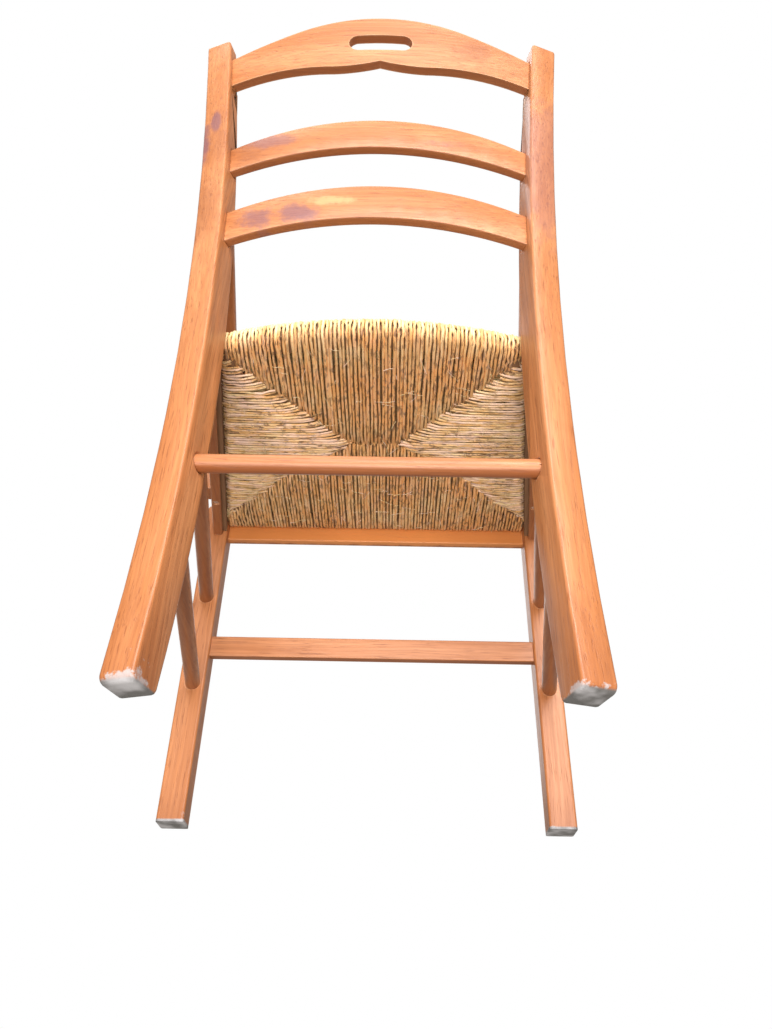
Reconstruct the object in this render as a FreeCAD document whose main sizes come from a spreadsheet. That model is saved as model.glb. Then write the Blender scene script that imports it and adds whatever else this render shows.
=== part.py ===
import FreeCAD, Part
import math
import os

import Sketcher

# A ladder-back armchair with a woven rush seat on a drop-in frame.
# +Z is up, the chair faces -Y, and the sitter's left is +X. Sizes are in millimetres.
# The sabre-curved rear legs are sawn flat and turned outwards about their own upright line, so that
# both their feet and their tops spread. Left-hand pieces are built and the right-hand ones mirrored.

SIZES = {
    # rear leg: an upright sabre curve, drawn in its own plane from the rear edge at seat height
    "rear_leg_inner": 179.2,
    "rear_leg_back": 178.6,
    "rear_leg_turn": 16.6,
    "rear_leg_width": 33.0,
    "rear_leg_height": 883.0,
    "rear_foot_rake": 3.5,
    "rear_foot_depth": 40.0,
    "rear_foot_rounding": 8.0,
    "rear_top_rake": 77.0,
    "rear_top_depth": 21.0,
    "rear_edge_radius": 2500.0,
    "front_edge_radius": 1931.0,
    "rear_top_drop": 2.0,
    # front leg: a square post with a domed end just above the seat
    "front_leg_inner": 221.0,
    "front_leg_back": -236.0,
    "front_leg_section": 34.0,
    "front_leg_height": 471.0,
    "front_leg_dome": 7.0,
    "front_leg_rounding": 3.0,
    # back rest: three bowed boards let into the legs
    "board_thick": 12.5,
    "board_rounding": 2.0,
    "crest_level": 821.5,
    "crest_lean": 14.0,
    "crest_end": 209.0,
    "crest_setback": 14.0,
    "crest_bow": 26.0,
    "crest_end_low": -9.5,
    "crest_end_high": 36.0,
    "crest_top_x": 110.0,
    "crest_top_z": 72.9,
    "crest_fall_arc": 2400.0,
    "crest_crown_arc": 335.0,
    "crest_lobe_x": 60.0,
    "crest_lobe_z": 7.8,
    "crest_lobe_arc": 195.0,
    "crest_shoulder_arc": 384.0,
    "crest_notch": 16.5,
    "hand_half": 30.5,
    "hand_low": 35.4,
    "hand_high": 60.7,
    "hand_end_arc": 12.8,
    "hand_low_arc": 2000.0,
    "hand_high_arc": 500.0,
    "upper_level": 682.5,
    "upper_lean": 10.0,
    "upper_end": 201.0,
    "upper_setback": 19.5,
    "upper_bow": 20.0,
    "upper_end_low": -12.2,
    "upper_end_high": 24.4,
    "upper_low_arc": 640.0,
    "upper_high_arc": 500.0,
    "lower_level": 570.5,
    "lower_lean": 7.2,
    "lower_end": 196.0,
    "lower_setback": 19.5,
    "lower_bow": 20.0,
    "lower_end_low": -13.2,
    "lower_end_high": 32.1,
    "lower_low_arc": 700.0,
    "lower_high_arc": 560.0,
    # stretchers
    "round_radius": 9.8,
    "tenon_radius": 7.5,
    "let_in": 5.0,
    "tenon_length": 16.0,
    "rear_stretcher_level": 250.0,
    "rear_stretcher_depth": 29.0,
    "upper_side_level": 310.0,
    "lower_side_level": 179.5,
    "side_stretcher_inset": 15.5,
    "side_stretcher_across": 22.0,
    "front_stretcher_level": 221.5,
    "front_stretcher_height": 30.0,
    "front_stretcher_thick": 12.0,
    "front_stretcher_setback": 6.0,
    # seat rails: thin boards on edge, set low enough to show under the rush
    "rail_level": 415.0,
    "rail_height": 43.0,
    "side_rail_thick": 13.0,
    "side_rail_outer": 241.0,
    "side_splay": 7.3,
    "front_rail_thick": 12.5,
    "front_rail_setback": 12.0,
    "rail_tenon_height": 26.0,
    "rail_tenon_thick": 8.0,
    "rail_tenon_length": 14.0,
    "rail_rounding": 2.0,
    "side_rail_length": 398.0,
    "ledger_length": 364.0,
    "ledger_thick": 6.0,
    "ledger_height": 9.0,
    # drop-in seat: four rails wrapped in rush over a stuffing
    "rush_low": 431.0,
    "rush_high": 461.0,
    "rush_wrap": 5.0,
    "seat_rail_width": 26.0,
    "seat_rear_width": 343.0,
    "seat_rear_bulge": 24.0,
    "seat_rear_corner": 369.0,
    "stuffing_height": 12.0,
    "stuffing_inset": 38.0,
    "stuffing_front_half": 168.0,
    "stuffing_rear_half": 128.0,
    # arms
    "arm_thick": 23.0,
    "arm_rear_top": 628.0,
    "arm_fall": 5.5,
    "arm_splay": 6.3,
    "arm_meets_leg": -18.0,
    "arm_rear_width": 27.0,
    "arm_front_width": 42.0,
    "arm_length": 372.0,
    "arm_rounding": 7.0,
    "arm_tenon_height": 13.0,
    "arm_tenon_width": 22.0,
    "support_back": 83.0,
    "support_block": 27.0,
    "support_block_low": 430.0,
    "support_block_height": 52.0,
    "support_shoulder": 147.0,
    "support_bead": 12.5,
    "support_neck": 7.5,
    "support_belly": 13.0,
    "support_tenon": 7.0,
    # fixings
    "screw_radius": 2.0,
    "screw_head_radius": 3.6,
    "screw_head_height": 2.6,
    "screw_length": 50.0,
    "screw_sink": 1.6,
    "brad_radius": 0.9,
    "brad_length": 18.0,
}

doc = FreeCAD.newDocument("Armchair")
sheet = doc.addObject("Spreadsheet::Sheet", "Sizes")
for row, (alias, value) in enumerate(SIZES.items(), start=1):
    sheet.set(f"A{row}", alias)
    sheet.set(f"B{row}", str(value))
    sheet.setAlias(f"B{row}", alias)
doc.recompute()

X_AXIS = FreeCAD.Vector(1, 0, 0)
Y_AXIS = FreeCAD.Vector(0, 1, 0)
Z_AXIS = FreeCAD.Vector(0, 0, 1)


def size(expression):
    """The value of an expression over the sheet's aliases, each written with an S. in front."""
    return float(sheet.evalExpression(bound(expression)))


def bound(expression):
    """An expression as FreeCAD reads it, with S. standing for the sheet."""
    return str(expression).replace("S.", "Sizes.")


def origin_plane(body, role):
    return next(f for f in body.Origin.OriginFeatures if f.Role == role)


def new_sketch(body, role, name):
    sketch = body.newObject("Sketcher::SketchObject", name)
    sketch.AttachmentSupport = (origin_plane(body, role), [""])
    sketch.MapMode = "FlatFace"
    return sketch


def arc_between(start, end, radius):
    """The short arc from start to end. A positive radius bulges to the left of the way from start to end."""
    chord = end - start
    half = chord.Length / 2
    rise = math.sqrt(max(radius * radius - half * half, 0.0))
    side = FreeCAD.Vector(-chord.y, chord.x, 0).normalize()
    centre = (start + end) / 2 - side * math.copysign(rise, radius)
    first, last = (end, start) if radius > 0 else (start, end)
    angles = [math.atan2(p.y - centre.y, p.x - centre.x) for p in (first, last)]
    circle = Part.Circle(centre, Z_AXIS, abs(radius))
    return Part.ArcOfCircle(circle, *angles), radius > 0


def draw_outline(sketch, corners, arcs=None):
    """A closed outline through corners, each a pair of expressions, with its corners pinned to the sheet.

    arcs gives the radius expression of each edge that is an arc, by the number of the corner it starts from.
    """
    arcs = arcs or {}
    points = [FreeCAD.Vector(size(x), size(y), 0) for x, y in corners]
    ends = []
    for number, start in enumerate(points):
        end = points[(number + 1) % len(points)]
        if number in arcs:
            shape, backwards = arc_between(start, end, size(arcs[number]))
        else:
            shape, backwards = Part.LineSegment(start, end), False
        edge = sketch.addGeometry(shape, False)
        ends.append((edge, 2, 1) if backwards else (edge, 1, 2))
    for number, (edge, first, last) in enumerate(ends):
        after, after_first, _ = ends[(number + 1) % len(ends)]
        sketch.addConstraint(Sketcher.Constraint("Coincident", edge, last, after, after_first))
    for number, (edge, first, last) in enumerate(ends):
        for kind, expression, value in zip(("DistanceX", "DistanceY"), corners[number], points[number]):
            pin = sketch.addConstraint(Sketcher.Constraint(kind, -1, 1, edge, first, value))
            sketch.setExpression(f"Constraints[{pin}]", bound(expression))
        if number in arcs:
            radius = abs(size(arcs[number]))
            curve = sketch.addConstraint(Sketcher.Constraint("Radius", edge, radius))
            sketch.setExpression(f"Constraints[{curve}]", bound(f"abs({arcs[number]})"))


def rectangle(sketch, low_x, low_y, high_x, high_y):
    draw_outline(sketch, [(low_x, low_y), (high_x, low_y), (high_x, high_y), (low_x, high_y)])


def pad(body, sketch, length, symmetric=False, name="Pad"):
    feature = body.newObject("PartDesign::Pad", name)
    feature.Profile = sketch
    feature.setExpression("Length", bound(length))
    feature.Midplane = symmetric
    return feature


def revolve(body, sketch, name="Turning"):
    """Turns a half profile, drawn beside its upright sketch axis, into a solid."""
    feature = body.newObject("PartDesign::Revolution", name)
    feature.Profile = sketch
    feature.ReferenceAxis = (sketch, ["V_Axis"])
    feature.Angle = 360
    return feature


def round_edges(body, feature, radius, chosen):
    """Rounds the edges of a feature that chosen(edge) accepts."""
    doc.recompute()
    names = [f"Edge{n}" for n, edge in enumerate(feature.Shape.Edges, start=1) if chosen(edge)]
    fillet = body.newObject("PartDesign::Fillet", "Rounding")
    fillet.Base = (feature, names)
    fillet.setExpression("Radius", bound(radius))
    return fillet


def spread(edge, axis):
    """How far an edge reaches along x, y or z."""
    return getattr(edge.BoundBox, axis.upper() + "Length")


def place(item, x, y, z, *turns):
    """Puts an object at a point given by expressions, turned about axes of its own, each with its angle."""
    rotation = FreeCAD.Rotation()
    for axis, angle in turns:
        rotation = rotation * FreeCAD.Rotation(axis, size(angle))
    item.Placement = FreeCAD.Placement(FreeCAD.Vector(size(x), size(y), size(z)), rotation)
    for letter, expression in zip("xyz", (x, y, z)):
        item.setExpression(f"Placement.Base.{letter}", bound(expression))


def cut(name, base, tools):
    """base with all the tools taken out of it."""
    joined = doc.addObject("Part::Compound", name + "_sockets")
    joined.Links = tools
    result = doc.addObject("Part::Cut", name)
    result.Base = base
    result.Tool = joined
    return result


def fuse(name, *shapes):
    result = doc.addObject("Part::MultiFuse", name)
    result.Shapes = list(shapes)
    return result


def outline_pad(name, corners, arcs, thick):
    """A piece drawn in plan and padded upwards."""
    body = doc.addObject("PartDesign::Body", name)
    sketch = new_sketch(body, "XY_Plane", name + "_plan")
    draw_outline(sketch, corners, arcs)
    pad(body, sketch, thick)
    return body


def board(name, low, high, thick):
    """A straight piece drawn as a rectangle in plan between two corners, and padded upwards."""
    (low_x, low_y), (high_x, high_y) = low, high
    return outline_pad(
        name, [(low_x, low_y), (high_x, low_y), (high_x, high_y), (low_x, high_y)], {}, thick
    )


pieces = {}


def keep(node, item):
    """Makes an object one of the chair's pieces."""
    item.Label = node
    pieces[node] = item
    return item


def keep_pair(node, item):
    """Keeps a left-hand piece and its mirror image."""
    keep(node + "_left", item)
    mirror = doc.addObject("Part::Mirroring", node + "_mirror")
    mirror.Source = item
    mirror.Normal = X_AXIS
    keep(node + "_right", mirror)


# --- rear leg blank: the sabre outline in the leg's own plane, sawn to width ---
rear_blank = doc.addObject("PartDesign::Body", "rear_leg_blank")
profile = new_sketch(rear_blank, "YZ_Plane", "rear_leg_profile")
draw_outline(
    profile,
    [
        ("S.rear_foot_rake - S.rear_foot_depth + S.rear_foot_rounding", "0"),
        ("S.rear_foot_rake - S.rear_foot_rounding", "0"),
        ("S.rear_foot_rake", "S.rear_foot_rounding"),
        ("S.rear_top_rake", "S.rear_leg_height"),
        ("S.rear_top_rake - S.rear_top_depth", "S.rear_leg_height"),
        ("S.rear_foot_rake - S.rear_foot_depth", "S.rear_foot_rounding"),
    ],
    {
        1: "-S.rear_foot_rounding",
        2: "S.rear_edge_radius",
        4: "-S.front_edge_radius",
        5: "-S.rear_foot_rounding",
    },
)
leg_pad = pad(rear_blank, profile, "S.rear_leg_width")
# the top is sawn off sloping down to the outside
top_waste = new_sketch(rear_blank, "XZ_Plane", "rear_leg_top_waste")
draw_outline(
    top_waste,
    [
        ("-1", "S.rear_leg_height"),
        ("S.rear_leg_width + 1", "S.rear_leg_height - S.rear_top_drop"),
        ("S.rear_leg_width + 1", "S.rear_leg_height + 20"),
        ("-1", "S.rear_leg_height + 20"),
    ],
)
top_cut = rear_blank.newObject("PartDesign::Pocket", "rear_leg_top_cut")
top_cut.Profile = top_waste
top_cut.Type = 1
top_cut.Midplane = True
place(rear_blank, "S.rear_leg_inner", "S.rear_leg_back", "0", (Z_AXIS, "-S.rear_leg_turn"))


def on_leg(along, across):
    """The x and y expressions of a point of the rear leg's plane, turned with it."""
    turn = "(S.rear_leg_turn * 1deg)"
    x = f"S.rear_leg_inner + ({along}) * sin{turn} + ({across}) * cos{turn}"
    y = f"S.rear_leg_back + ({along}) * cos{turn} - ({across}) * sin{turn}"
    return x, y


def rear_edge_at(level):
    """How far the rear edge of the leg lies behind its line at seat height, at a level."""
    radius, lowest = size("S.rear_edge_radius"), size("S.rear_foot_rounding")
    foot, top = size("S.rear_foot_rake"), size("S.rear_top_rake")
    tall, above = size("S.rear_leg_height") - lowest, level - lowest
    curve = (top - foot) / tall - tall / (2 * radius)
    return foot + curve * above + above * above / (2 * radius)


# --- back rest: each board is an outline in elevation, cut from a slab that is bowed in plan ---
def back_board(name, prefix, corners, arcs, window=None):
    face = doc.addObject("PartDesign::Body", name + "_face")
    drawing = new_sketch(face, "XZ_Plane", name + "_outline")
    draw_outline(drawing, corners, arcs)
    if window:
        draw_outline(drawing, *window)
    pad(face, drawing, "200", symmetric=True)
    slab = doc.addObject("PartDesign::Body", name + "_slab")
    plan = new_sketch(slab, "XY_Plane", name + "_plan")
    end, bow = f"S.{prefix}_end", f"S.{prefix}_bow"
    bow_arc = f"(({end} * {end} + {bow} * {bow}) / (2 * {bow}))"
    corners_in_plan = [
        ("-" + end, "-S.board_thick"),
        (end, "-S.board_thick"),
        (end, "0"),
        ("-" + end, "0"),
    ]
    draw_outline(plan, corners_in_plan, {0: bow_arc, 2: "-" + bow_arc})
    pad(slab, plan, "220", symmetric=True)
    common = doc.addObject("Part::Common", name + "_sawn")
    common.Base = face
    common.Tool = slab
    level = f"S.{prefix}_level"
    back = rear_edge_at(size(level)) - size(f"S.{prefix}_setback")
    _, y = on_leg(str(back), "0")
    place(common, "0", y, level, (X_AXIS, f"-S.{prefix}_lean"))
    return keep(name, common)


def plain_slat(name, prefix):
    end, low, high = (f"S.{prefix}_{part}" for part in ("end", "end_low", "end_high"))
    corners = [("-" + end, low), (end, low), (end, high), ("-" + end, high)]
    return back_board(name, prefix, corners, {0: f"S.{prefix}_low_arc", 2: f"-S.{prefix}_high_arc"})


crest_right = [
    ("S.crest_lobe_x", "S.crest_lobe_z"),
    ("S.crest_end", "S.crest_end_low"),
    ("S.crest_end", "S.crest_end_high"),
    ("S.crest_top_x", "S.crest_top_z"),
]
crest_left = [("-" + x, z) for x, z in reversed(crest_right)]
crest_arcs = {
    0: "-S.crest_lobe_arc",
    1: "S.crest_shoulder_arc",
    3: "-S.crest_fall_arc",
    4: "-S.crest_crown_arc",
    5: "-S.crest_fall_arc",
    7: "S.crest_shoulder_arc",
    8: "-S.crest_lobe_arc",
}
hand_hole = (
    [
        ("-S.hand_half", "S.hand_low"),
        ("S.hand_half", "S.hand_low"),
        ("S.hand_half", "S.hand_high"),
        ("-S.hand_half", "S.hand_high"),
    ],
    {0: "S.hand_low_arc", 1: "-S.hand_end_arc", 2: "-S.hand_high_arc", 3: "-S.hand_end_arc"},
)
crest_corners = [("0", "S.crest_notch"), *crest_right, *crest_left]
crest = back_board("top_rail", "crest", crest_corners, crest_arcs, hand_hole)
upper_slat = plain_slat("upper_slat", "upper")
lower_slat = plain_slat("lower_slat", "lower")


# --- round stretchers: turned rods, let a little into the legs before their thinner tenons start ---
def rod(name, start, end):
    """A turned rod between two points on leg faces, each a triple of numbers."""
    start, end = FreeCAD.Vector(*start), FreeCAD.Vector(*end)
    length = (end - start).Length
    body = doc.addObject("PartDesign::Body", name)
    half = new_sketch(body, "XZ_Plane", name + "_half")
    draw_outline(
        half,
        [
            ("0", "-S.tenon_length"),
            ("S.tenon_radius", "-S.tenon_length"),
            ("S.tenon_radius", "-S.let_in"),
            ("S.round_radius", "-S.let_in"),
            ("S.round_radius", f"{length} + S.let_in"),
            ("S.tenon_radius", f"{length} + S.let_in"),
            ("S.tenon_radius", f"{length} + S.tenon_length"),
            ("0", f"{length} + S.tenon_length"),
        ],
    )
    revolve(body, half)
    body.Placement = FreeCAD.Placement(start, FreeCAD.Rotation(Z_AXIS, end - start))
    return body


def front_face_at(level):
    """Where a side stretcher meets the rear leg's front face at a level, in plan."""
    profile_line = leg_pad.Shape.section(
        Part.makePlane(400, 400, FreeCAD.Vector(-200, -200, size(level)), Z_AXIS)
    )
    nearest = profile_line.BoundBox.YMin
    x, y = on_leg(str(nearest), "S.side_stretcher_across")
    return size(x), size(y)


doc.recompute()
rear_depth = rear_edge_at(size("S.rear_stretcher_level")) - size("S.rear_stretcher_depth")
rear_x, rear_y = (size(e) for e in on_leg(str(rear_depth), "0"))
rear_level = size("S.rear_stretcher_level")
rear_stretcher = keep(
    "rear_stretcher", rod("rear_stretcher", (-rear_x, rear_y, rear_level), (rear_x, rear_y, rear_level))
)
side_stretchers = []
for level_name in ("upper", "lower"):
    level = f"S.{level_name}_side_level"
    front = (size("S.front_leg_inner + S.side_stretcher_inset"), size("S.front_leg_back"), size(level))
    rear = (*front_face_at(level), size(level))
    side_stretchers.append(rod(f"{level_name}_side_stretcher", front, rear))

# --- front stretcher: a flat board on edge, with stub tenons as thick as itself ---
front_stretcher = board(
    "front_stretcher_board",
    ("-S.front_leg_inner - 12", "S.front_leg_back - S.front_stretcher_setback - S.front_stretcher_thick"),
    ("S.front_leg_inner + 12", "S.front_leg_back - S.front_stretcher_setback"),
    "S.front_stretcher_height",
)
round_edges(front_stretcher, front_stretcher.Tip, "S.board_rounding", lambda e: spread(e, "x") > 300)
place(front_stretcher, "0", "0", "S.front_stretcher_level")
keep("front_stretcher", front_stretcher)

# --- front seat rail: a thin board between the front legs, with a bare-faced tenon at each end ---
RAIL_BACK = "(S.front_leg_back - S.front_rail_setback)"
TENON_LEVEL = "S.rail_level + (S.rail_height - S.rail_tenon_height) / 2"
front_rail_board = board(
    "front_rail_board",
    ("-S.front_leg_inner", RAIL_BACK + " - S.front_rail_thick"),
    ("S.front_leg_inner", RAIL_BACK),
    "S.rail_height",
)
round_edges(front_rail_board, front_rail_board.Tip, "S.rail_rounding", lambda e: spread(e, "x") > 300)
place(front_rail_board, "0", "0", "S.rail_level")
front_rail_tenon = board(
    "front_rail_tenon",
    ("-S.front_leg_inner - S.rail_tenon_length", RAIL_BACK + " - S.rail_tenon_thick"),
    ("S.front_leg_inner + S.rail_tenon_length", RAIL_BACK + " - 1"),
    "S.rail_tenon_height",
)
place(front_rail_tenon, "0", "0", TENON_LEVEL)
front_rail = keep("front_rail", fuse("front_rail_joined", front_rail_board, front_rail_tenon))

# --- front leg blank: a square post, its long edges softened and its top domed ---
front_blank = board(
    "front_leg_blank",
    ("-S.front_leg_section / 2", "-S.front_leg_section / 2"),
    ("S.front_leg_section / 2", "S.front_leg_section / 2"),
    "S.front_leg_height",
)
round_edges(front_blank, front_blank.Tip, "S.front_leg_rounding", lambda e: spread(e, "z") > 300)
round_edges(
    front_blank,
    front_blank.Tip,
    "S.front_leg_dome",
    lambda e: spread(e, "z") < 0.1 and e.BoundBox.ZMin > size("S.front_leg_height") - 1,
)
place(
    front_blank,
    "S.front_leg_inner + S.front_leg_section / 2",
    "S.front_leg_back - S.front_leg_section / 2",
    "0",
)


# --- seat sides: pieces drawn along the side rail's own length from the front leg, then splayed ---
def along_side(name, inner, outer, start, end, height, level):
    """A straight piece beside the seat. inner and outer are distances from the rail's outer face."""
    piece = board(name, (inner, start), (outer, end), height)
    place(piece, "S.side_rail_outer", "S.front_leg_back", level, (Z_AXIS, "S.side_splay"))
    return piece


side_board = along_side(
    "side_board", "-S.side_rail_thick", "0", "0", "S.side_rail_length", "S.rail_height", "S.rail_level"
)
round_edges(side_board, side_board.Tip, "S.rail_rounding", lambda e: spread(e, "y") > 300)
scribed_board = cut("scribed_side_board", side_board, [front_blank, rear_blank])
side_tenon = along_side(
    "side_tenon",
    "-S.rail_tenon_thick",
    "-1",
    "-S.front_leg_section / 3",
    "S.side_rail_length - 6",
    "S.rail_tenon_height",
    TENON_LEVEL,
)
side_joined = fuse("side_rail_joined", scribed_board, side_tenon)
ledger_blank = along_side(
    "ledger_blank",
    "-S.side_rail_thick - S.ledger_thick",
    "-S.side_rail_thick",
    "3",
    "S.ledger_length",
    "S.ledger_height",
    "S.rush_low - S.ledger_height",
)


# --- arm supports: turned uprights, their square feet rebated over the side rail ---
def on_side(along, across):
    """The x and y expressions of a point given along and across the splayed side rail."""
    turn = "(S.side_splay * 1deg)"
    x = f"S.side_rail_outer + ({across}) * cos{turn} - ({along}) * sin{turn}"
    y = f"S.front_leg_back + ({across}) * sin{turn} + ({along}) * cos{turn}"
    return x, y


support_blank = doc.addObject("PartDesign::Body", "arm_support_blank")
foot = new_sketch(support_blank, "XY_Plane", "support_foot")
half_foot = "S.support_block / 2"
rectangle(foot, "-" + half_foot, "-" + half_foot, half_foot, half_foot)
foot_pad = pad(support_blank, foot, "S.support_block_height")
round_edges(support_blank, foot_pad, "S.rail_rounding", lambda e: spread(e, "z") > 20)
turned = new_sketch(support_blank, "XZ_Plane", "support_turning")
draw_outline(
    turned,
    [
        ("0", "S.support_block_height - 4"),
        ("S.support_bead", "S.support_block_height - 4"),
        ("S.support_bead", "S.support_block_height + 3"),
        ("S.support_neck", "S.support_block_height + 12"),
        ("S.support_belly", "S.support_block_height + 38"),
        ("S.support_neck + 1", "S.support_shoulder - 16"),
        ("S.support_bead - 1", "S.support_shoulder - 9"),
        ("S.support_bead - 1", "S.support_shoulder"),
        ("S.support_tenon", "S.support_shoulder"),
        ("S.support_tenon", "S.support_shoulder + 12"),
        ("0", "S.support_shoulder + 12"),
    ],
    {2: "14", 3: "-24", 4: "-70", 5: "9"},
)
revolve(support_blank, turned)
support_x, support_y = on_side("S.support_back", "S.support_block / 2 - S.side_rail_thick + 2")
place(support_blank, support_x, support_y, "S.support_block_low", (Z_AXIS, "S.side_splay"))

# --- fixings: a countersunk screw up through each side rail into the support, and ledger brads ---
screw = doc.addObject("PartDesign::Body", "support_screw")
screw_half = new_sketch(screw, "XZ_Plane", "screw_half")
draw_outline(
    screw_half,
    [
        ("0", "0"),
        ("S.screw_head_radius", "0"),
        ("S.screw_radius", "S.screw_head_height"),
        ("S.screw_radius", "S.screw_length - 5"),
        ("0", "S.screw_length"),
    ],
)
revolve(screw, screw_half)
screw_x, screw_y = on_side("S.support_back", "-S.side_rail_thick / 2")
place(screw, screw_x, screw_y, "S.rail_level + S.screw_sink")
counterbore = doc.addObject("Part::Cylinder", "screw_counterbore")
counterbore.setExpression("Radius", bound("S.screw_head_radius + 0.8"))
counterbore.setExpression("Height", bound("S.screw_sink"))
place(counterbore, screw_x, screw_y, "S.rail_level")

brads = []
for number in range(3):
    brad = doc.addObject("Part::Cylinder", f"ledger_brad_{number}")
    brad.setExpression("Radius", bound("S.brad_radius"))
    brad.setExpression("Height", bound("S.brad_length"))
    brad_x, brad_y = on_side(f"30 + {number} * 150", "-S.side_rail_thick - S.ledger_thick")
    brad_level = "S.rush_low - S.ledger_height / 2"
    place(brad, brad_x, brad_y, brad_level, (Z_AXIS, "S.side_splay"), (Y_AXIS, "90"))
    brads.append(brad)

side_rail = cut("side_rail_drilled", side_joined, [screw, counterbore, *brads])
arm_support = cut("arm_support_rebated", support_blank, [side_board, screw])
keep_pair("side_rail", side_rail)
keep_pair("ledger", cut("ledger_drilled", ledger_blank, brads))
keep_pair("arm_support", arm_support)


def both_sides(node, items):
    """Keeps left-hand fasteners and their mirror images as one node."""
    group = doc.addObject("Part::Compound", node + "_left_set")
    group.Links = items
    mirror = doc.addObject("Part::Mirroring", node + "_right_set")
    mirror.Source = group
    mirror.Normal = X_AXIS
    whole = doc.addObject("Part::Compound", node)
    whole.Links = [group, mirror]
    keep(node, whole)


both_sides("arm_support_screws", [screw])
both_sides("ledger_brads", brads)

# --- arms: sawn in plan, widening to a rounded front, falling a little forwards ---
ARM_TURNS = ((Z_AXIS, "S.arm_splay"), (X_AXIS, "S.arm_fall"))
arm_x, arm_y = on_leg("S.arm_meets_leg", "4")


def arm_body(name, corners, arcs, thick):
    body = doc.addObject("PartDesign::Body", name)
    plan = new_sketch(body, "XY_Plane", name + "_plan")
    draw_outline(plan, corners, arcs)
    feature = pad(body, plan, thick, symmetric=True)
    place(body, arm_x, arm_y, "S.arm_rear_top - S.arm_thick / 2", *ARM_TURNS)
    return body, feature


arm_blank, arm_pad = arm_body(
    "arm_blank",
    [
        ("0", "12"),
        ("0", "-S.arm_length + 16"),
        ("14", "-S.arm_length"),
        ("S.arm_front_width - 16", "-S.arm_length"),
        ("S.arm_front_width", "-S.arm_length + 22"),
        ("S.arm_front_width", "-S.arm_length + 80"),
        ("S.arm_rear_width", "-60"),
        ("S.arm_rear_width", "12"),
    ],
    {1: "-18", 3: "-22", 5: "900"},
    "S.arm_thick",
)
round_edges(
    arm_blank, arm_pad, "S.arm_rounding", lambda e: spread(e, "z") < 0.1 and e.BoundBox.YMin < 11
)
arm_tenon, _ = arm_body(
    "arm_tenon",
    [("3", "-30"), ("3 + S.arm_tenon_width", "-30"), ("3 + S.arm_tenon_width", "16"), ("3", "16")],
    {},
    "S.arm_tenon_height",
)
scribed_arm = cut("scribed_arm", arm_blank, [rear_blank, arm_support])
arm = fuse("arm_joined", scribed_arm, arm_tenon)
keep_pair("arm", arm)

# --- drop-in seat: four rails joined into a frame, a stuffing, and rush woven round the rails ---
SEAT_FRONT = "(S.front_leg_back - S.front_rail_setback)"
SEAT_BACK = "(S.front_leg_back + S.seat_rear_corner)"
frame_level = "S.rush_low + S.rush_wrap"
frame_height = "S.rush_high - S.rush_low - 2 * S.rush_wrap"
seat_front_rail = board(
    "seat_front_rail",
    ("-S.front_leg_inner + 12", SEAT_FRONT + " + S.rush_wrap"),
    ("S.front_leg_inner - 12", SEAT_FRONT + " + S.rush_wrap + S.seat_rail_width"),
    frame_height,
)
place(seat_front_rail, "0", "0", frame_level)
rear_rail_half = "(S.seat_rear_width / 2 - S.rush_wrap)"
bulge_arc = "((S.seat_rear_width ^ 2 / 4 + S.seat_rear_bulge ^ 2) / (2 * S.seat_rear_bulge))"
seat_rear_rail = outline_pad(
    "seat_rear_rail",
    [
        ("-" + rear_rail_half, SEAT_BACK + " - S.rush_wrap - S.seat_rail_width"),
        (rear_rail_half, SEAT_BACK + " - S.rush_wrap - S.seat_rail_width"),
        (rear_rail_half, SEAT_BACK + " - S.rush_wrap"),
        ("-" + rear_rail_half, SEAT_BACK + " - S.rush_wrap"),
    ],
    {0: bulge_arc, 2: "-" + bulge_arc},
    frame_height,
)
place(seat_rear_rail, "0", "0", frame_level)
seat_side_blank = along_side(
    "seat_side_blank",
    "-S.side_rail_thick - S.rush_wrap - S.seat_rail_width",
    "-S.side_rail_thick - S.rush_wrap",
    "6",
    "S.seat_rear_corner - 12",
    frame_height,
    frame_level,
)
seat_side = cut("seat_side_fitted", seat_side_blank, [seat_front_rail, seat_rear_rail])
keep("seat_front_rail", seat_front_rail)
keep("seat_rear_rail", seat_rear_rail)
keep_pair("seat_side_rail", seat_side)


stuffing_front, stuffing_rear = SEAT_FRONT + " + S.stuffing_inset", SEAT_BACK + " - S.stuffing_inset"
stuffing = outline_pad(
    "seat_stuffing",
    [
        ("-S.stuffing_front_half", stuffing_front),
        ("S.stuffing_front_half", stuffing_front),
        ("S.stuffing_rear_half", stuffing_rear),
        ("-S.stuffing_rear_half", stuffing_rear),
    ],
    {},
    "S.stuffing_height",
)
place(stuffing, "0", "0", "(S.rush_low + S.rush_high - S.stuffing_height) / 2")
keep("seat_stuffing", stuffing)

rush_right = [
    ("(S.front_leg_inner - 2)", SEAT_FRONT),
    ("(S.front_leg_inner - 2)", "(S.front_leg_back + 2)"),
    tuple(f"({e})" for e in on_side("2", "-S.side_rail_thick - 1")),
    tuple(f"({e})" for e in on_side("S.seat_rear_corner - 14", "-S.side_rail_thick - 1")),
    ("S.seat_rear_width / 2", SEAT_BACK),
]
rush_left = [("-" + x, y) for x, y in reversed(rush_right)]
rush_blank = outline_pad(
    "rush_blank",
    rush_right + rush_left,
    {len(rush_right) - 1: "-" + bulge_arc},
    "S.rush_high - S.rush_low",
)
place(rush_blank, "0", "0", "S.rush_low")
inside = [pieces[f"seat_{part}"] for part in ("front_rail", "rear_rail", "side_rail_left", "side_rail_right")]
keep("rush_seat", cut("rush_woven", rush_blank, [*inside, stuffing]))

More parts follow.
